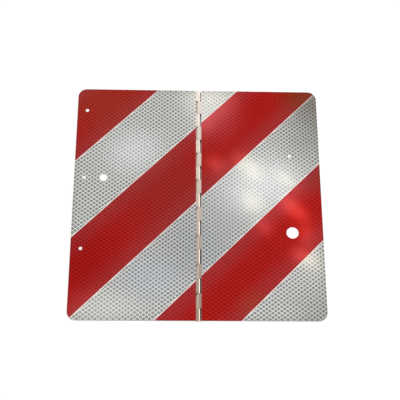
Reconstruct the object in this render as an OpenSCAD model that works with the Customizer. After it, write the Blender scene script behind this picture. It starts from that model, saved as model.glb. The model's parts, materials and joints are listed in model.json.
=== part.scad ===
// Folding rear marking plate, lying open and face up.
// Two sheet metal leaves turn on one long pin. Each leaf's inner edge is notched into tabs, and the tabs
// are curled down and round the pin, so the hinge is flush at the front and stands out at the back.
// X runs across the leaves, Y along the pin towards the top edge, Z up out of the striped face.

/* [Plate] */
// Width of the open plate, across both leaves
plate_w = 423; // [350:1:600]
// Height of the plate, along the hinge
plate_h = 423; // [350:1:600]
// Thickness of the metal sheet
sheet_t = 1.2; // [1:0.1:2]
// Radius of the plate's outer corners
corner_r = 15; // [5:1:30]

/* [Hinge] */
// How far the hinge lies to the right of the plate's middle
hinge_shift = 1.5; // [0:0.1:4]
// Diameter of the pin
pin_d = 1.9; // [1.8:0.1:4]
// Running gap between the pin and the knuckles, all round
pin_clear = 0.05; // [0.03:0.01:0.1]
// How far the pin stops short of each end of the barrel
pin_recess = 0.6; // [0.2:0.1:3]
// Chamfer on the ends of the pin
pin_chamfer = 0.3; // [0.1:0.1:0.8]
// Distance along the pin from one knuckle to the next
knuckle_pitch = 25.4; // [18:0.1:40]
// Gap between the ends of neighbouring knuckles
knuckle_gap = 0.5; // [0.2:0.1:1]
// Gap between a knuckle and the edge of the notch that it turns in
notch_gap = 2.2; // [0.5:0.1:3]
// Gap at the back, where a curled tab comes round to its own leaf
seam_gap = 0.3; // [0.1:0.1:0.6]

/* [Sheeting] */
// Thickness of the white prismatic sheeting
film_t = 0.4; // [0.2:0.05:0.8]
// Thickness of the red layer on top of the sheeting
red_t = 0.1; // [0.05:0.05:0.3]
// How far the sheeting stays inside the edges of the metal
film_margin = 0.2; // [0.1:0.1:1]

/* [Left leaf holes] */
// Diameter of the three fixing holes
fixing_d = 6; // [4:0.1:9]
// Distance from the outer edge to the line of fixing holes
fixing_inset = 17; // [10:0.5:28]
// Height of the middle fixing hole above the middle of the plate
fixing_rise = 40; // [20:0.5:60]
// Distance between neighbouring fixing holes
fixing_pitch = 129; // [100:0.5:150]
// Diameter of the catch hole, level with the middle fixing hole
catch_d = 13.5; // [8:0.1:18]
// Distance from the outer edge to the centre of the catch hole
catch_inset = 50; // [45:0.5:70]

/* [Right leaf holes] */
// Diameter of the small hole
small_d = 6; // [4:0.1:9]
// Distance from the top edge to the small hole
small_drop = 127; // [110:0.5:150]
// Diameter of the large hole
large_d = 20.5; // [10:0.1:30]
// Distance from the bottom edge to the large hole
large_rise = 153; // [135:0.5:165]
// Distance from the outer edge to both holes
right_inset = 52; // [40:0.5:70]

/* [Hidden] */
$fn = 96;

metal = "#c9c7bf";
steel = "#8f9296";
white_film = "#d3d4ce";
red_film = "#a31a16";

// An overlap for cutters, so that no cut ends exactly on a face
over = 1;

bore_r = pin_d / 2 + pin_clear;
barrel_r = bore_r + sheet_t;
// The barrel rests on the ground, and the front of the sheet is level with its top
axis_z = barrel_r;
front_z = axis_z + barrel_r;
back_z = front_z - sheet_t;
film_z = front_z;
red_z = front_z + film_t;
// Each leaf's flat stops this far from the pin's axis, except at its own tabs
notch_x = barrel_r + notch_gap;

// The inner knuckles are of equal length, and an end knuckle takes up what is left, at least a third
end_share = 1 / 3;
inner_count = 2 * floor((plate_h / knuckle_pitch - 2 * end_share - 1) / 2) + 1;
last_knuckle = inner_count + 1;

// Places of the holes, from the middle of the plate
fixing_x = fixing_inset - plate_w / 2;
catch_x = catch_inset - plate_w / 2;
right_x = plate_w / 2 - right_inset;
small_y = plate_h / 2 - small_drop;
large_y = large_rise - plate_h / 2;

// Each edge is divided into three equal steps, and the stripes run up to the right between them. On the
// square plate that is 45 degrees, with stripes 100 mm wide
edge_steps = 3;
step_x = plate_w / edge_steps;
step_y = plate_h / edge_steps;

// Where the cut between knuckle k and the next one lies, along the pin
function cut_y(k) = (k - inner_count / 2) * knuckle_pitch;
function knuckle_start(k) = k == 0 ? -plate_h / 2 : cut_y(k - 1) + knuckle_gap / 2;
function knuckle_end(k) = k == last_knuckle ? plate_h / 2 : cut_y(k) - knuckle_gap / 2;

// The left leaf has the even knuckles, with both ends, and the right leaf has the odd ones
function knuckles_of(first) = [for (k = [first:2:last_knuckle]) k];

// The whole plate's outline, kept a margin inside its edges
module plate_outline(margin) {
    w = plate_w - 2 * margin;
    h = plate_h - 2 * margin;
    r = corner_r - margin;
    square([w, h - 2 * r], center = true);
    square([w - 2 * r, h], center = true);
    for (x = [-1, 1], y = [-1, 1])
        translate([x * (w / 2 - r), y * (h / 2 - r)]) circle(r);
}

// One leaf's outline, from its outer edge to the notches. Side is -1 for left and 1 for right
module leaf_outline(side, margin) {
    strip_middle = hinge_shift + side * (notch_x + margin + plate_w / 2);
    intersection() {
        plate_outline(margin);
        translate([strip_middle, 0]) square([plate_w, plate_h + over], center = true);
    }
}

module left_holes() {
    for (row = [-1:1])
        translate([fixing_x, fixing_rise + row * fixing_pitch]) circle(d = fixing_d);
    translate([catch_x, fixing_rise]) circle(d = catch_d);
}

module right_holes() {
    translate([right_x, small_y]) circle(d = small_d);
    translate([right_x, large_y]) circle(d = large_d);
}

// Section of a tab that leaves the left leaf level with its front, and curls down and back round the pin.
// The curl stops where its outside comes within the seam gap of the leaf's back
module curl_section() {
    seam_angle = 180 - asin((bore_r - seam_gap) / barrel_r);
    far = 2 * barrel_r;
    difference() {
        circle(barrel_r);
        circle(bore_r);
        polygon([
            [0, 0],
            [0, far],
            [-far, far],
            [far * cos(seam_angle), far * sin(seam_angle)]
        ]);
    }
    translate([-notch_x, bore_r]) square([notch_x, sheet_t]);
}

// One knuckle of the left leaf, which lies along Y round the pin's axis
module knuckle(k) {
    translate([0, knuckle_end(k), axis_z])
        rotate([90, 0, 0])
            linear_extrude(knuckle_end(k) - knuckle_start(k)) curl_section();
}

module left_panel() {
    color(metal) {
        translate([0, 0, back_z])
            linear_extrude(sheet_t) difference() {
                leaf_outline(-1, 0);
                left_holes();
            }
        translate([hinge_shift, 0, 0])
            for (k = knuckles_of(0)) knuckle(k);
    }
}

module right_panel() {
    color(metal) {
        translate([0, 0, back_z])
            linear_extrude(sheet_t) difference() {
                leaf_outline(1, 0);
                right_holes();
            }
        translate([hinge_shift, 0, 0])
            mirror([1, 0, 0])
                for (k = knuckles_of(1)) knuckle(k);
    }
}

module hinge_pin() {
    half = plate_h / 2 - pin_recess;
    r = pin_d / 2;
    tip_r = r - pin_chamfer;
    color(steel)
        translate([hinge_shift, 0, axis_z])
            rotate([90, 0, 0])
                rotate_extrude()
                    polygon([
                        [0, -half],
                        [tip_r, -half],
                        [r, pin_chamfer - half],
                        [r, half - pin_chamfer],
                        [tip_r, half],
                        [0, half]
                    ]);
}

module left_sheeting() {
    color(white_film)
        translate([0, 0, film_z])
            linear_extrude(film_t) difference() {
                leaf_outline(-1, film_margin);
                left_holes();
            }
}

module right_sheeting() {
    color(white_film)
        translate([0, 0, film_z])
            linear_extrude(film_t) difference() {
                leaf_outline(1, film_margin);
                right_holes();
            }
}

// Stripe number n as a slanted strip across the whole plate: 0 is at the top left corner
module stripe(n) {
    up = edge_steps;
    down = 3 * edge_steps;
    translate([-plate_w / 2, plate_h / 2])
        polygon([
            [(n + up) * step_x, up * step_y],
            [(n - down) * step_x, -down * step_y],
            [(n + 1 - down) * step_x, -down * step_y],
            [(n + 1 + up) * step_x, up * step_y]
        ]);
}

module red_field(side, n) {
    color(red_film)
        translate([0, 0, red_z])
            linear_extrude(red_t) difference() {
                intersection() {
                    leaf_outline(side, film_margin);
                    stripe(n);
                }
                if (side < 0) left_holes();
                else right_holes();
            }
}

module left_red_corner() { red_field(-1, 0); }
module left_red_band() { red_field(-1, 2); }
module left_red_foot() { red_field(-1, 4); }
module right_red_upper() { red_field(1, 2); }
module right_red_lower() { red_field(1, 4); }

left_panel();
right_panel();
hinge_pin();
left_sheeting();
right_sheeting();
left_red_corner();
left_red_band();
left_red_foot();
right_red_upper();
right_red_lower();
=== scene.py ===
# %% [markdown]
# # A folding rear marking plate
#
# The real plate is a pair of aluminium leaves, hinged along the middle, with red and white reflective
# sheeting stuck on the front. It hangs on the back of a caravan or a long load and folds away to half its
# width.
#
# The metal and the layers of sheeting come ready from the CAD model, in metres, with the striped face up.
# This script gives them their finishes, and sets up the studio: a camera, a light table and soft lights.

# %% Load the CAD model
import json
import math

import bpy
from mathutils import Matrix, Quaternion, Vector


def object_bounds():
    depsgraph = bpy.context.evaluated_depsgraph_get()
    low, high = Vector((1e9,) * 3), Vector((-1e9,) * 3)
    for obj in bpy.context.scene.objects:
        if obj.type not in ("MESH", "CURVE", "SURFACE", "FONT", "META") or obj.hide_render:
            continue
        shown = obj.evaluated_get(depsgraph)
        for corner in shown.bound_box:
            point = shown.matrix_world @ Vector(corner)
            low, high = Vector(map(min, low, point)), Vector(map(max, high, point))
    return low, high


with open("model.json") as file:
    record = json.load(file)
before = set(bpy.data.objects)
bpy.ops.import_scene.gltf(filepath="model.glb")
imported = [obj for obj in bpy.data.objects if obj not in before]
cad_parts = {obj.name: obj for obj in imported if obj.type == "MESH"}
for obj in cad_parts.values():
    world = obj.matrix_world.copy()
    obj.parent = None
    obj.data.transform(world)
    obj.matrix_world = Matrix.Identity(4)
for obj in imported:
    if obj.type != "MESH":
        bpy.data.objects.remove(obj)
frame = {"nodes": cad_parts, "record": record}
nodes = frame["nodes"]
cad_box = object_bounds()

MM = 0.001
plate_low, plate_high = cad_box
print("pieces:", ", ".join(sorted(nodes)))
print("size in mm:", [round(x / MM, 1) for x in plate_high - plate_low])

# %% [markdown]
# ## Helpers for colours and shader nodes
#
# A colour picked on a screen is an sRGB value, while the shaders work with linear light. One function
# turns a hex value into the linear colour that the shaders need.
#
# A material is a small network of nodes. One function adds a node, sets its options, and then fills each
# of its sockets, either with a constant or with a link from another node.


# %% Colour and node helpers
def linear(hex_code):
    """The linear colour of an sRGB hex value such as #a31a16."""
    channels = [int(hex_code[i : i + 2], 16) / 255 for i in (1, 3, 5)]
    return [c / 12.92 if c <= 0.04045 else ((c + 0.055) / 1.055) ** 2.4 for c in channels] + [1.0]


def add_node(tree, kind, sockets=None, **options):
    """Adds a shader node. sockets maps a socket's name or number to a constant, or to the output that
    feeds it.
    """
    node = tree.nodes.new("ShaderNode" + kind)
    for option, value in options.items():
        setattr(node, option, value)
    for socket, value in (sockets or {}).items():
        if isinstance(value, bpy.types.NodeSocket):
            tree.links.new(value, node.inputs[socket])
        else:
            node.inputs[socket].default_value = value
    return node


def new_material(name):
    """An empty material, and its node tree with only the output in it."""
    material = bpy.data.materials.new(name)
    material.use_nodes = True
    tree = material.node_tree
    tree.nodes.clear()
    tree.nodes.new("ShaderNodeOutputMaterial")
    return material, tree


def finish_with(tree, shader):
    """Links a shader to the material's output."""
    tree.links.new(shader.outputs[0], tree.nodes["Material Output"].inputs["Surface"])


def add_stage_piece(name, points, faces, material):
    """A plain mesh that belongs to the studio and not to the plate."""
    mesh = bpy.data.meshes.new(name)
    mesh.from_pydata(points, [], faces)
    mesh.materials.append(material)
    piece = bpy.data.objects.new(name, mesh)
    bpy.context.scene.collection.objects.link(piece)
    return piece


print("the red of the stripes, as linear light:", [round(c, 3) for c in linear("#a31a16")[:3]])

# %% [markdown]
# ## The camera
#
# The four corners of the plate, which is square and flat, fix where the photograph was taken from: a
# short telephoto view from about 1.6 metres, over the lower edge and a little to the left.
#
# The camera is rolled by a few degrees, which makes the lower edge run level. The photograph was also
# cropped a little off its centre. A small sideways shift of the lens gives that without changing the
# perspective.

# %% Camera
camera_at = Vector((-0.0381, -0.6097, 1.4649))
looking_at = Vector((0.0275, 0.0001, 0.0048))
ROLL = math.radians(6.22)

camera_data = bpy.data.cameras.new("camera")
camera_data.sensor_width = 36.0
camera_data.lens = 83.74
camera_data.shift_x = -0.035
camera = bpy.data.objects.new("camera", camera_data)
bpy.context.scene.collection.objects.link(camera)
camera.location = camera_at
camera.rotation_mode = "QUATERNION"
unrolled = (looking_at - camera_at).to_track_quat("-Z", "Y")
camera.rotation_quaternion = unrolled @ Quaternion((0, 0, 1), ROLL)
bpy.context.scene.camera = camera
print("camera distance in m:", round((looking_at - camera_at).length, 3))

# %% [markdown]
# ## The light table
#
# The photograph has a pure white ground, also where it shows through the holes. A photographer gets that
# with a light table, a white panel lit from inside. So the floor shines softly by itself, on top of what
# the lamps give it, and the object's shadow on it stays faint.
#
# The slots beside the knuckles read dark in the photograph, because little light gets under the hinge. A
# narrow dark card under the hinge is painted shade that does the same here. It is painted lighter where a
# slot lets light in from the left or the top. The ambient occlusion node measures how much of the sky a
# place sees, and the card fades away where nothing covers it, as when a leaf is folded over.

# %% Light table
FLOOR_HALF = 10.0
CARD_HALF, CARD_FADE = 5 * MM, 0.6 * MM
SKY_REACH, SKY_SAMPLES = 8 * MM, 8
SKY_COVERED, SKY_OPEN = 0.5, 0.65
KNUCKLE_PITCH, TAB_SHADE = 25.4 * MM, 1.5 * MM
# Painted shade on the card: the slots on the right are painted darker along each knuckle from here, and
# lighter from this height upwards
SHADE_STARTS, TOP_LIGHT_STARTS = 0.4 * KNUCKLE_PITCH, -100 * MM
# Painted shade: the dark card stands in for the shade under the hinge, its lighter tone for light in the
# slots
CARD_DARK, CARD_LIGHT = "#161414", "#988880"
PANEL_TINT, PANEL_GLOW, CARD_GLOW, OPAL_ROUGH = "#5c5c5a", 0.9, 0.6, 0.6
hinge_x = frame["record"]["behaviour"]["joints"][0]["pos_m"][0]

opal, tree = new_material("opal_acrylic_lit_from_inside")
place = add_node(tree, "TexCoord")
floor_place = add_node(tree, "SeparateXYZ", {0: place.outputs["Object"]})
from_hinge = add_node(tree, "Math", {0: floor_place.outputs["X"], 1: hinge_x}, operation="SUBTRACT")
off_hinge = add_node(tree, "Math", {0: from_hinge.outputs[0]}, operation="ABSOLUTE")
off_middle = add_node(tree, "Math", {0: floor_place.outputs["Y"]}, operation="ABSOLUTE")
card_end = plate_high.y - CARD_HALF - CARD_FADE
past_end = add_node(tree, "Math", {0: off_middle.outputs[0], 1: card_end}, operation="SUBTRACT")
from_card = add_node(tree, "Math", {0: off_hinge.outputs[0], 1: past_end.outputs[0]}, operation="MAXIMUM")
beside_card = add_node(
    tree,
    "MapRange",
    {"Value": from_card.outputs[0], "From Min": CARD_HALF, "From Max": CARD_HALF + CARD_FADE},
)
sky = add_node(tree, "AmbientOcclusion", {"Distance": SKY_REACH}, samples=SKY_SAMPLES)
uncovered = add_node(
    tree, "MapRange", {"Value": sky.outputs["AO"], "From Min": SKY_COVERED, "From Max": SKY_OPEN}
)
open_panel = add_node(
    tree, "Math", {0: beside_card.outputs[0], 1: uncovered.outputs[0]}, operation="MAXIMUM"
)
# Along the hinge, in a repeat of two knuckles: 0 at the foot of a left knuckle, one pitch at its top end
from_foot = add_node(tree, "Math", {0: floor_place.outputs["Y"], 1: KNUCKLE_PITCH / 2})
along = add_node(
    tree, "Math", {0: from_foot.outputs[0], 1: 2 * KNUCKLE_PITCH}, operation="FLOORED_MODULO"
)
right_knuckle_middle = 1.5 * KNUCKLE_PITCH - TAB_SHADE / 2
left_light = add_node(
    tree,
    "Math",
    {0: along.outputs[0], 1: right_knuckle_middle, 2: (KNUCKLE_PITCH - TAB_SHADE) / 2},
    operation="COMPARE",
)
knuckle_light = add_node(
    tree,
    "MapRange",
    {
        "Value": along.outputs[0],
        "From Min": SHADE_STARTS,
        "From Max": KNUCKLE_PITCH,
        "To Min": 1.0,
        "To Max": 0.0,
    },
)
to_top = add_node(
    tree,
    "MapRange",
    {"Value": floor_place.outputs["Y"], "From Min": TOP_LIGHT_STARTS, "From Max": plate_high.y},
)
right_light = add_node(
    tree, "Math", {0: knuckle_light.outputs[0], 1: to_top.outputs[0]}, operation="MINIMUM"
)
to_right = add_node(
    tree, "MapRange", {"Value": from_hinge.outputs[0], "From Min": -CARD_FADE, "From Max": CARD_FADE}
)
# Painted shade and painted light on the card: darker where the knuckles shade a slot, lighter where light
# gets in
card_light = add_node(
    tree, "Mix", {0: to_right.outputs[0], 2: left_light.outputs[0], 3: right_light.outputs[0]}
)
painted_shade_on_card = add_node(
    tree, "Mix", {0: card_light.outputs[0], 6: linear(CARD_DARK), 7: linear(CARD_LIGHT)}, data_type="RGBA"
)
opal_tint_and_painted_shade, glow_and_painted_shade_tint = (
    add_node(
        tree, "Mix", {0: open_panel.outputs[0], 6: painted_shade_on_card.outputs[2], 7: linear(tint)}, data_type="RGBA"
    )
    for tint in (PANEL_TINT, "#ffffff")
)
glow = add_node(
    tree, "MapRange", {"Value": open_panel.outputs[0], "To Min": CARD_GLOW, "To Max": PANEL_GLOW}
)
finish_with(
    tree,
    add_node(
        tree,
        "BsdfPrincipled",
        {
            "Base Color": opal_tint_and_painted_shade.outputs[2],
            "Roughness": OPAL_ROUGH,
            "Emission Color": glow_and_painted_shade_tint.outputs[2],
            "Emission Strength": glow.outputs[0],
        },
    ),
)
corners = [(-1, -1), (1, -1), (1, 1), (-1, 1)]
floor_points = [(x * FLOOR_HALF, y * FLOOR_HALF, 0) for x, y in corners]
add_stage_piece("light_table", floor_points, [(0, 1, 2, 3)], opal)
print("light table of", 2 * FLOOR_HALF, "m")
print("card under the hinge:", round(2 * CARD_HALF / MM), "mm wide")

# %% [markdown]
# ## Soft light
#
# The whole room gives light, as a white tent round the plate would, and a bright window lies behind it to
# the right. The round knuckles show that window as a long highlight. The room is darker near the floor,
# so that the glossy sheeting keeps its colours when it is seen from a low angle.
#
# Lamps could stand for the window too. A soft patch of the world's own light has no edges that show up in
# the metal, so it is used here, with one softbox on the right for shape.

# %% Room, window and softbox
WINDOW_WAY = Vector((0.8, 0.4, 0.4)).normalized()
ROOM_LOW, ROOM_HIGH, WINDOW = 0.45, 0.9, 0.75
# A direction is level at 0 and upright at 1. It points away from the window at -1, and into it at 1
ROOM_RISE, WINDOW_EDGE, WINDOW_CORE = 0.5, 0.25, 0.95
SOFTBOX_AT, SOFTBOX_SIZE, SOFTBOX_RADIANCE = Vector((1.5, 0.1, 1.0)), (1.5, 1.6), 1.2

world = bpy.data.worlds.new("studio")
bpy.context.scene.world = world
world.use_nodes = True
tree = world.node_tree
direction = add_node(tree, "TexCoord")
upward = add_node(tree, "SeparateXYZ", {0: direction.outputs["Generated"]})
room_light = add_node(
    tree,
    "MapRange",
    {"Value": upward.outputs["Z"], "From Max": ROOM_RISE, "To Min": ROOM_LOW, "To Max": ROOM_HIGH},
)
to_window = add_node(
    tree, "VectorMath", {0: direction.outputs["Generated"], 1: WINDOW_WAY}, operation="DOT_PRODUCT"
)
window_light = add_node(
    tree,
    "MapRange",
    {
        "Value": to_window.outputs["Value"],
        "From Min": WINDOW_EDGE,
        "From Max": WINDOW_CORE,
        "To Max": WINDOW,
    },
    interpolation_type="SMOOTHSTEP",
)
wall_light = add_node(tree, "Math", {0: room_light.outputs[0], 1: window_light.outputs[0]})
tree.links.new(wall_light.outputs[0], tree.nodes["Background"].inputs["Strength"])
tree.nodes["Background"].inputs["Color"].default_value = linear("#ffffff")

softbox_data = bpy.data.lights.new("softbox", "AREA")
softbox_data.shape = "RECTANGLE"
softbox_data.size, softbox_data.size_y = SOFTBOX_SIZE
softbox_data.energy = SOFTBOX_RADIANCE * math.pi * SOFTBOX_SIZE[0] * SOFTBOX_SIZE[1]
softbox = bpy.data.objects.new("softbox", softbox_data)
bpy.context.scene.collection.objects.link(softbox)
softbox.location = SOFTBOX_AT
softbox.rotation_mode = "QUATERNION"
softbox.rotation_quaternion = (-SOFTBOX_AT).to_track_quat("-Z", "Y")
print("softbox of", round(softbox_data.energy, 1), "W")

# %% [markdown]
# ## The backdrop
#
# A ring of white paper on the light table keeps the ground of a low view plain. Only the camera sees it:
# it neither lights the plate nor shows in it.

# %% Backdrop
RING_RADIUS, RING_TOP, RING_SIDES = 9.0, 4.0, 48

paper, tree = new_material("white_backdrop_paper")
finish_with(tree, add_node(tree, "Emission", {"Color": linear("#ffffff"), "Strength": 1.0}))
turns = [2 * math.pi * side / RING_SIDES for side in range(RING_SIDES)]
ring_points = [
    (RING_RADIUS * math.cos(turn), RING_RADIUS * math.sin(turn), z) for z in (0, RING_TOP) for turn in turns
]
ring_faces = []
for side in range(RING_SIDES):
    following = (side + 1) % RING_SIDES
    ring_faces.append((side, side + RING_SIDES, following + RING_SIDES, following))
backdrop = add_stage_piece("backdrop", ring_points, ring_faces, paper)
backdrop.visible_diffuse = False
backdrop.visible_glossy = False
backdrop.visible_transmission = False
backdrop.visible_shadow = False
print("backdrop", 2 * RING_RADIUS, "m across")

# %% [markdown]
# ## The ceiling that the sheeting mirrors
#
# The cells of the sheeting are dull mirrors. In the photograph they show a dim room above the plate, with
# warm lamps in it as soft bright spots, and a cooler, wider glow round them.
#
# A flat mirror shows a place on the ceiling where the line from the camera's mirror image meets it. So a
# panel hangs over the plate, and its patches of light are given by the places on the plate where they
# show, in millimetres. They were placed and set by comparing the render with the photograph. The panel is
# hidden from the camera.

# %% Mirrored ceiling
CEILING = 1.4553
PANEL_HALF = 0.6
DIM_ROOM = 0.28

# Seen from the camera, a place on the plate mirrors the place this many times as far out, plus the shift
spread = 1 + CEILING / camera_at.z
shift = Vector((-camera_at.x, -camera_at.y)) * (CEILING / camera_at.z)

# Each patch: middle, half axes, turn in degrees, radiance, share of the radius that fades, and colour
LAMP, PINK_LAMP, GLOW, DAYLIGHT = "#fff0d0", "#ffe8dc", "#eef4ff", "#fffaf0"
PATCHES = [
    ((88, 63), (50, 21), -42, 1.7, 0.8, LAMP),
    ((152, 40), (34, 13), -38, 1.9, 0.8, LAMP),
    ((92, -4), (34, 24), -50, 1.4, 0.8, LAMP),
    ((165, -16), (44, 18), -42, 2.6, 0.8, PINK_LAMP),
    ((182, -60), (22, 32), 0, 1.6, 1.0, PINK_LAMP),
    ((30, 68), (30, 22), -40, 1.7, 1.0, PINK_LAMP),
    ((112, -48), (26, 17), -40, 1.8, 1.0, PINK_LAMP),
    ((180, -103), (42, 20), -30, 2.4, 1.0, LAMP),
    ((110, 30), (115, 85), 15, 1.36, 1.0, GLOW),
    ((20, 195), (75, 55), 0, 1.5, 1.0, DAYLIGHT),
    ((12, 150), (30, 40), 0, 1.1, 1.0, DAYLIGHT),
    ((-110, 90), (85, 65), 10, 0.9, 1.0, GLOW),
    ((-150, -190), (110, 50), 0, 0.6, 1.0, DAYLIGHT),
    ((-60, -140), (60, 40), 0, 0.3, 1.0, "#c8dcff"),
]
lit_ceiling, tree = new_material("lamp_lit_ceiling")
place = add_node(tree, "TexCoord")
on_plate = add_node(
    tree,
    "Mapping",
    {"Vector": place.outputs["Object"], "Location": (*shift, 0), "Scale": (spread * MM, spread * MM, 1)},
    vector_type="TEXTURE",
)
total = None
for middle, half_axes, turn, radiance, fade, colour in PATCHES:
    local = add_node(
        tree,
        "Mapping",
        {
            "Vector": on_plate.outputs[0],
            "Location": (*middle, CEILING),
            "Rotation": (0, 0, math.radians(turn)),
            "Scale": (*half_axes, 1),
        },
        vector_type="TEXTURE",
    )
    radius = add_node(tree, "VectorMath", {0: local.outputs[0]}, operation="LENGTH")
    patch_light = add_node(
        tree,
        "MapRange",
        {
            "Value": radius.outputs["Value"],
            "From Min": 1 - fade,
            "From Max": 1.0,
            "To Min": radiance,
            "To Max": 0.0,
        },
        interpolation_type="SMOOTHERSTEP",
    )
    total = add_node(
        tree,
        "VectorMath",
        {
            0: patch_light.outputs[0],
            1: linear(colour)[:3],
            2: total.outputs[0] if total else (DIM_ROOM, DIM_ROOM, DIM_ROOM),
        },
        operation="MULTIPLY_ADD",
    )
finish_with(tree, add_node(tree, "Emission", {"Color": total.outputs[0], "Strength": 1.0}))
ceiling_points = [(shift.x + x * PANEL_HALF, shift.y + y * PANEL_HALF, CEILING) for x, y in corners]
ceiling = add_stage_piece("ceiling_panel", ceiling_points, [(0, 3, 2, 1)], lit_ceiling)
ceiling.visible_camera = False
print("patches of light on the ceiling:", len(PATCHES))
print("a place on the plate mirrors one", round(spread, 3), "times as far out")

# %% [markdown]
# ## Aluminium sheet with a mill finish
#
# The leaves are bare aluminium as it leaves the rolling mill: fine lines from the rolls, and an oxide
# skin that dulls the shine. Only the rolled knuckles, the cut edges and the back show. The front of the
# hinge is pale and warm, and is coloured browner and darker towards the foot. The right half of the
# barrel has painted shade, a little darker than the left half. The back can't be seen in the photograph,
# and has the cool grey of new sheet.
#
# A painted texture could carry all this. Noise stretched along the rolling direction gives the lines
# without a seam, and a few ramps along the hinge give the browner foot and the painted shade on the right
# half of the barrel, so both follow the metal's own place.

# %% Aluminium
CLEAN_DARK, CLEAN_LIGHT, MIDDLE_BEIGE, FOOT_BROWN = "#f2e6d8", "#f8f0e6", "#e6ccb4", "#cbb09a"
# Real rolling lines are about 0.1 mm wide. They are drawn coarser here, so that they show in the render
LINE_WIDE, LINE_LONG, STAIN_SIZE = 1.1 * MM, 25 * MM, 33 * MM
# Aluminium is metallic, and its chalky oxide is not: it scatters the light, mostly at the pale top
TOP_METALLIC, FOOT_METALLIC = 0.35, 0.9
# Up the hinge from the middle: where the beige and the brown tints start and are at their most, and
# how strong they are there. The right half of the barrel is painted a little darker than the left one, as
# painted shade
BEIGE_START, BEIGE_END, BEIGE_MOST = 160 * MM, 60 * MM, 0.4
BROWN_START, BROWN_END, BROWN_MOST = 20 * MM, -200 * MM, 0.6
RIGHT_PAINTED_SHADE, RIGHT_FADE = 0.15, 1.5 * MM
# Mill-finish sheet lies at a roughness of 0.2 to 0.4. The lower end keeps the knuckles' highlights narrow
ROUGH_LOW, ROUGH_HIGH = 0.2, 0.26
GRAIN_STRENGTH, GRAIN_DEEP = 0.05, 0.2 * MM
# The back of the leaves and of the barrel gets none of these tints, and keeps the cool grey of new sheet
NEW_SHEET, NEW_METALLIC, NEW_ROUGH = "#b9babc", 0.95, 0.32
LEAF_STARTS, LEAF_FADE = 4.5 * MM, 1.5 * MM
BARREL_BACK, BARREL_FRONT = 1.4 * MM, 2.2 * MM

aluminium, tree = new_material("mill_finish_aluminium")
place = add_node(tree, "TexCoord")
rolled = add_node(
    tree,
    "Mapping",
    {"Vector": place.outputs["Object"], "Scale": (1 / LINE_WIDE, 1 / LINE_LONG, 1 / LINE_WIDE)},
)
rolling = add_node(tree, "TexNoise", {"Vector": rolled.outputs[0], "Scale": 1.0, "Detail": 3.0})
stain = add_node(
    tree, "TexNoise", {"Vector": place.outputs["Object"], "Scale": 1 / STAIN_SIZE, "Detail": 2.0}
)
tint = add_node(
    tree, "Mix", {0: stain.outputs[0], 6: linear(CLEAN_DARK), 7: linear(CLEAN_LIGHT)}, data_type="RGBA"
)
metal_place = add_node(tree, "SeparateXYZ", {0: place.outputs["Object"]})
beige_share = add_node(
    tree,
    "MapRange",
    {
        "Value": metal_place.outputs["Y"],
        "From Min": BEIGE_START,
        "From Max": BEIGE_END,
        "To Max": BEIGE_MOST,
    },
)
brown_share = add_node(
    tree,
    "MapRange",
    {
        "Value": metal_place.outputs["Y"],
        "From Min": BROWN_START,
        "From Max": BROWN_END,
        "To Max": BROWN_MOST,
    },
)
# Painted shade: the right half of the barrel is coloured a little darker than the left half
right_painted_shade = add_node(
    tree,
    "MapRange",
    {
        "Value": metal_place.outputs["X"],
        "From Min": hinge_x,
        "From Max": hinge_x + RIGHT_FADE,
        "To Max": RIGHT_PAINTED_SHADE,
    },
)
brown_and_painted_shade = add_node(tree, "Math", {0: brown_share.outputs[0], 1: right_painted_shade.outputs[0]})
for amount, colour in ((beige_share, MIDDLE_BEIGE), (brown_and_painted_shade, FOOT_BROWN)):
    tint = add_node(
        tree, "Mix", {0: amount.outputs[0], 6: tint.outputs[2], 7: linear(colour)}, data_type="RGBA"
    )
metallic = add_node(
    tree,
    "MapRange",
    {
        "Value": metal_place.outputs["Y"],
        "From Min": plate_high.y,
        "From Max": plate_low.y,
        "To Min": TOP_METALLIC,
        "To Max": FOOT_METALLIC,
    },
)
rough = add_node(tree, "MapRange", {"Value": stain.outputs[0], "To Min": ROUGH_LOW, "To Max": ROUGH_HIGH})
from_pin = add_node(tree, "Math", {0: metal_place.outputs["X"], 1: hinge_x}, operation="SUBTRACT")
off_pin = add_node(tree, "Math", {0: from_pin.outputs[0]}, operation="ABSOLUTE")
on_leaf = add_node(
    tree,
    "MapRange",
    {"Value": off_pin.outputs[0], "From Min": LEAF_STARTS, "From Max": LEAF_STARTS + LEAF_FADE},
)
at_back = add_node(
    tree,
    "MapRange",
    {"Value": metal_place.outputs["Z"], "From Min": BARREL_FRONT, "From Max": BARREL_BACK},
)
new_sheet_share = add_node(tree, "Math", {0: on_leaf.outputs[0], 1: at_back.outputs[0]}, operation="MAXIMUM")
tint = add_node(
    tree, "Mix", {0: new_sheet_share.outputs[0], 6: tint.outputs[2], 7: linear(NEW_SHEET)}, data_type="RGBA"
)
metallic = add_node(tree, "Mix", {0: new_sheet_share.outputs[0], 2: metallic.outputs[0], 3: NEW_METALLIC})
rough = add_node(tree, "Mix", {0: new_sheet_share.outputs[0], 2: rough.outputs[0], 3: NEW_ROUGH})
grain = add_node(
    tree, "Bump", {"Height": rolling.outputs[0], "Strength": GRAIN_STRENGTH, "Distance": GRAIN_DEEP}
)
finish_with(
    tree,
    add_node(
        tree,
        "BsdfPrincipled",
        {
            "Base Color": tint.outputs[2],
            "Metallic": metallic.outputs[0],
            "Roughness": rough.outputs[0],
            "Normal": grain.outputs[0],
        },
    ),
)
for name in ("left_panel", "right_panel"):
    nodes[name].material_slots[0].material = aluminium
print("aluminium on the leaves, rolling lines", round(LINE_WIDE / MM, 1), "mm wide")

# %% [markdown]
# ## The pin of drawn steel wire
#
# The pin is plain wire, pulled through a die, which leaves fine lines along it and a soft grey shine. It
# shows only at its ends and in the gaps between the knuckles. The lines make the roughness vary, and
# nothing more is needed at this size.

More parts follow.
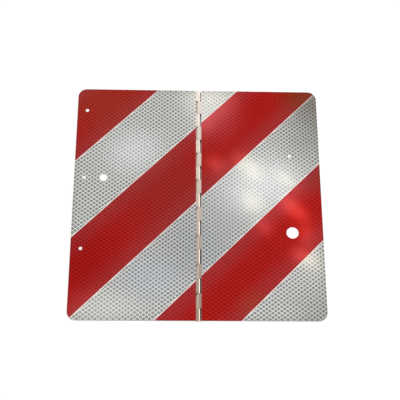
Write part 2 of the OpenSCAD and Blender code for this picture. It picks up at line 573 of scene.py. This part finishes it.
# %% Pin
# Die lines are some hundredths of a millimetre wide, and are drawn coarser so that they show at all
DIE_LINE_WIDE, DIE_LINE_LONG = 0.4 * MM, 17 * MM
WIRE_GREY, WIRE_SMOOTH, WIRE_ROUGH = "#8f9296", 0.25, 0.45

steel, tree = new_material("drawn_steel_wire")
place = add_node(tree, "TexCoord")
drawn = add_node(
    tree,
    "Mapping",
    {"Vector": place.outputs["Object"], "Scale": (1 / DIE_LINE_WIDE, 1 / DIE_LINE_LONG, 1 / DIE_LINE_WIDE)},
)
die_lines = add_node(tree, "TexNoise", {"Vector": drawn.outputs[0], "Scale": 1.0, "Detail": 2.0})
rough = add_node(
    tree, "MapRange", {"Value": die_lines.outputs[0], "To Min": WIRE_SMOOTH, "To Max": WIRE_ROUGH}
)
finish_with(
    tree,
    add_node(
        tree,
        "BsdfPrincipled",
        {"Base Color": linear(WIRE_GREY), "Metallic": 1.0, "Roughness": rough.outputs[0]},
    ),
)
nodes["hinge_pin"].material_slots[0].material = steel
print("drawn steel on the pin")

# %% [markdown]
# ## Prismatic sheeting
#
# Reflective sheeting of this kind is clear acrylic with tiny prisms moulded into its back, and air behind
# them. A backing is welded on along a lattice of thin lines, which closes the air into diamond-shaped
# cells.
#
# From near the lamp a cell shines back. From anywhere else it looks like a dull mirror, and the weld
# lines, where there is no air, look like plain white plastic. So the material is more than half metallic
# in the cells and much less so on the lines, under one clear glossy coat.
#
# The cells could be modelled one by one, at some five thousand to a plate. Under the smooth front they
# have no relief to feel, so a pattern in the material is the better choice. The Voronoi texture with no
# randomness gives a square lattice, which a turn of 45 degrees and a stretch make into diamonds.

# %% Lattice of weld lines
CELL_WIDE, CELL_HIGH = 9.75 * MM, 7.2 * MM
CELL_RADIUS = 3.1 * MM
WELD_WIDTH, WELD_BLUR = 0.9 * MM, 0.12 * MM
# Half the width of the plain spot where four cells meet
CROSSING_HALF = 0.5 * MM
# From the middle of a cell to the middle of the weld along its side
half_diamond = CELL_WIDE * CELL_HIGH / (2 * math.hypot(CELL_WIDE, CELL_HIGH))


def weld_lines(tree, flat):
    """Three outputs: 1 on the weld lines and 0 in the cells, a random number for each cell, and how wide
    the weld is, from 0 between two cells to 1 where four meet.
    """
    to_lattice = {
        "Scale": (math.sqrt(2) / CELL_WIDE, math.sqrt(2) / CELL_HIGH, 1),
        "Rotation": (0, 0, math.radians(45)),
    }
    on_lattice = add_node(tree, "Mapping", {"Vector": flat, **to_lattice})
    cells = add_node(
        tree,
        "TexVoronoi",
        {"Vector": on_lattice.outputs[0], "Scale": 1.0, "Randomness": 0.0},
        voronoi_dimensions="2D",
        distance="CHEBYCHEV",
    )
    offset = add_node(
        tree, "VectorMath", {0: on_lattice.outputs[0], 1: cells.outputs["Position"]}, operation="SUBTRACT"
    )
    from_middle = add_node(
        tree, "Mapping", {"Vector": offset.outputs[0], **to_lattice}, vector_type="TEXTURE"
    )
    radius = add_node(tree, "VectorMath", {0: from_middle.outputs[0]}, operation="LENGTH")
    past_round = add_node(tree, "Math", {0: radius.outputs["Value"], 1: CELL_RADIUS}, operation="SUBTRACT")
    past_side = add_node(
        tree,
        "Math",
        {0: cells.outputs["Distance"], 1: 2 * half_diamond, 2: WELD_WIDTH / 2 - half_diamond},
        operation="MULTIPLY_ADD",
    )
    past = add_node(
        tree,
        "Math",
        {0: past_round.outputs[0], 1: past_side.outputs[0], 2: WELD_BLUR},
        operation="SMOOTH_MAX",
    )
    weld = add_node(
        tree,
        "MapRange",
        {"Value": past.outputs[0], "From Min": -WELD_BLUR, "From Max": WELD_BLUR},
        interpolation_type="SMOOTHSTEP",
    )
    chance = add_node(tree, "SeparateColor", {0: cells.outputs["Color"]})
    width = add_node(
        tree,
        "MapRange",
        {
            "Value": radius.outputs["Value"],
            "From Min": half_diamond,
            "From Max": CELL_WIDE / 2 - CROSSING_HALF,
        },
    )
    return weld.outputs[0], chance.outputs[0], width.outputs[0]


print("cells of", round(CELL_WIDE / MM, 2), "by", round(CELL_HIGH / MM, 2), "mm")

# %% [markdown]
# ## Where the colour of the sheeting changes, and where light and shade are painted on it
#
# The sheeting isn't one even colour. It is paler beside the stripe edges and dirtier along the outline.
# Wide soft areas at given places are painted light, painted shade and painted reflection, partly mixed
# with the sheeting's own colour; the two can't be told apart from colour in one picture.
#
# Such changes follow a distance: from an edge, or from a place on the plate. The distances are worked out
# from the plate's own size, with three stripe steps to an edge.

# %% Distances
EDGE_STEPS = 3
STRIPE_STEP = (plate_high.x - plate_low.x) / EDGE_STEPS


def edge_distances(tree, flat):
    """How far a place on the plate lies from the nearest stripe edge, from the outline, and from either."""
    place = add_node(tree, "SeparateXYZ", {0: flat})
    diagonal = add_node(tree, "Math", {0: place.outputs["X"], 1: place.outputs["Y"]}, operation="SUBTRACT")
    steps = add_node(tree, "Math", {0: diagonal.outputs[0], 1: STRIPE_STEP}, operation="DIVIDE")
    share = add_node(tree, "Math", {0: steps.outputs[0], 1: 0.5}, operation="PINGPONG")
    stripe = add_node(
        tree, "Math", {0: share.outputs[0], 1: STRIPE_STEP / math.sqrt(2)}, operation="MULTIPLY"
    )
    outward = add_node(tree, "VectorMath", {0: flat}, operation="ABSOLUTE")
    inward = add_node(
        tree, "VectorMath", {0: tuple(plate_high), 1: outward.outputs[0]}, operation="SUBTRACT"
    )
    margins = add_node(tree, "SeparateXYZ", {0: inward.outputs[0]})
    outline = add_node(
        tree, "Math", {0: margins.outputs["X"], 1: margins.outputs["Y"]}, operation="MINIMUM"
    )
    edge = add_node(tree, "Math", {0: stripe.outputs[0], 1: outline.outputs[0]}, operation="MINIMUM")
    return {"stripe": stripe.outputs[0], "outline": outline.outputs[0], "edge": edge.outputs[0]}


def place_distance(tree, flat, place):
    """How far a place on the plate lies from a given one, in mm."""
    point = (place[0] * MM, place[1] * MM, 0)
    return add_node(tree, "VectorMath", {0: flat, 1: point}, operation="DISTANCE").outputs["Value"]


print("stripe edges", round(STRIPE_STEP / math.sqrt(2) / MM, 1), "mm apart")

# %% [markdown]
# ## One material for the white sheeting, and one for the red
#
# The red stripes are a transparent red film over the same white sheeting, so the same cells show through
# them, much fainter. One function makes both. It takes the colours of cells and welds, and a list of
# washes: soft changes of colour with a reach and a strength. The washes at a place on the plate are
# painted light, shade and reflection, partly mixed with the sheeting's own colour.

# %% Sheeting
# How metallic the cells are, a weld between two cells, and the spot where four meet
CELL_SHINE, NARROW_WELD_SHINE, CROSSING_SHINE = 0.6, 0.05, 0.35
# Smooth acrylic has a roughness of 0.05 to 0.1. All its gloss is in the clear coat at the front, and the
# layer under that has none of its own
CELL_ROUGH, WELD_ROUGH, ACRYLIC_IOR = 0.08, 0.12, 1.49
COAT_WEIGHT, COAT_ROUGH = 0.35, 0.06
# The film follows small waves in the sheet, some 55 mm long and two hundredths of a millimetre high
WAVE_LONG, WAVE_HIGH = 55 * MM, 0.02 * MM
# The plain rim beside a stripe edge turns into cells over this distance
RIM_FADE = 1 * MM


def prismatic_sheeting(name, cell_tints, weld_tints, rim, tints_and_painted_light):
    """Prismatic acrylic, without cells along a rim beside each stripe edge.

    Each wash has an edge's name or a place, its reach in mm, its colour and its strength. The washes at a
    place are painted light, shade and reflection, partly mixed with the sheeting's own colour.
    """
    material, tree = new_material(name)
    place = add_node(tree, "TexCoord")
    flat = add_node(tree, "VectorMath", {0: place.outputs["Object"], 1: (1, 1, 0)}, operation="MULTIPLY")
    edges = edge_distances(tree, flat.outputs[0])
    weld, chance, width = weld_lines(tree, flat.outputs[0])
    on_rim = add_node(
        tree,
        "MapRange",
        {
            "Value": edges["stripe"],
            "From Min": rim,
            "From Max": rim + RIM_FADE,
            "To Min": 1.0,
            "To Max": 0.0,
        },
    )
    weld = add_node(tree, "Math", {0: weld, 1: on_rim.outputs[0]}, operation="MAXIMUM").outputs[0]
    cell, line = (
        add_node(tree, "Mix", {0: share, 6: linear(first), 7: linear(last)}, data_type="RGBA")
        for share, (first, last) in ((chance, cell_tints), (width, weld_tints))
    )
    colour = add_node(tree, "Mix", {0: weld, 6: cell.outputs[2], 7: line.outputs[2]}, data_type="RGBA")
    # Washes at a place paint light, shade and reflection into the colour, partly mixed with its own colour
    for start, reach, tint, strength in tints_and_painted_light:
        distance = edges[start] if start in edges else place_distance(tree, flat.outputs[0], start)
        share = add_node(
            tree,
            "MapRange",
            {"Value": distance, "From Max": reach * MM, "To Min": strength, "To Max": 0.0},
            interpolation_type="SMOOTHSTEP",
        )
        colour = add_node(
            tree, "Mix", {0: share.outputs[0], 6: colour.outputs[2], 7: linear(tint)}, data_type="RGBA"
        )
    weld_shine = add_node(
        tree, "MapRange", {"Value": width, "To Min": NARROW_WELD_SHINE, "To Max": CROSSING_SHINE}
    )
    metallic = add_node(tree, "Mix", {0: weld, 2: CELL_SHINE, 3: weld_shine.outputs[0]})
    rough = add_node(tree, "MapRange", {"Value": weld, "To Min": CELL_ROUGH, "To Max": WELD_ROUGH})
    wave = add_node(tree, "TexNoise", {"Vector": flat.outputs[0], "Scale": 1 / WAVE_LONG, "Detail": 1.0})
    waviness = add_node(tree, "Bump", {"Height": wave.outputs[0], "Strength": 1.0, "Distance": WAVE_HIGH})
    finish_with(
        tree,
        add_node(
            tree,
            "BsdfPrincipled",
            {
                "Base Color": colour.outputs[2],
                "Metallic": metallic.outputs[0],
                "Roughness": rough.outputs[0],
                "IOR": ACRYLIC_IOR,
                "Specular IOR Level": 0.0,
                "Normal": waviness.outputs[0],
                "Coat Weight": COAT_WEIGHT,
                "Coat Roughness": COAT_ROUGH,
                "Coat IOR": ACRYLIC_IOR,
            },
        ),
    )
    return material


WHITE_TINTS_AND_PAINTED_LIGHT = [
    ("outline", 14, "#988d7b", 0.2),
    # Painted shade and painted reflection, partly mixed with the sheeting's own colour: dark and brown at
    # the top right corner, darker down the right side and at the bottom right, bluer and darker in the
    # middle, bluer and lighter low on the left, and lighter grey right of the hinge
    ((205, 190), 75, "#62513e", 0.6),
    ((205, 130), 95, "#6c6760", 0.4),
    ((205, -205), 80, "#6c6c64", 0.3),
    ((-5, -82), 120, "#727f94", 0.3),
    ((-90, -140), 70, "#b1c0d9", 0.2),
    ((50, -28), 68, "#c6c8c8", 0.36),
    ("stripe", 2.4, "#ebccc4", 0.6),
]
RED_TINTS_AND_PAINTED_LIGHT = [
    ("stripe", 40, "#ae5055", 0.34),
    # Painted light, shade and reflection, partly mixed with the red's own colour: browner at the top left,
    # pinker and lighter near the top of the hinge, darker in the middle and on the right, brown at the top
    # right corner, orange near the foot, and deeper red at the lower left
    ((-170, 190), 130, "#985038", 0.3),
    ((25, 160), 75, "#d9656d", 0.35),
    ((-40, 20), 160, "#82413a", 0.28),
    ((205, 50), 60, "#82413a", 0.35),
    ((195, 205), 75, "#6e4116", 0.6),
    ((90, -185), 40, "#ae572b", 0.25),
    ((-205, -110), 110, "#a00404", 0.45),
    ("edge", 2.2, "#400404", 0.3),
]
white = prismatic_sheeting(
    "white_prismatic_acrylic", ("#adaeaa", "#b3b4b0"), ("#fbfbf8", "#c6c6c2"), 0.9 * MM, WHITE_TINTS_AND_PAINTED_LIGHT
)
red = prismatic_sheeting(
    "red_over_prismatic_acrylic", ("#c2100a", "#c5120b"), ("#b52822", "#a01c16"), 0.0, RED_TINTS_AND_PAINTED_LIGHT
)
for name in ("left_sheeting", "right_sheeting"):
    nodes[name].material_slots[0].material = white
for name in ("left_red_corner", "left_red_band", "left_red_foot", "right_red_upper", "right_red_lower"):
    nodes[name].material_slots[0].material = red
print("sheeting:", white.name, "and", red.name)

# %% [markdown]
# ## Colours on the screen
#
# The hex colours were matched against the photograph, so the render keeps them: the standard view shows
# linear light without a film curve.

# %% Finish
bpy.context.scene.view_settings.view_transform = "Standard"
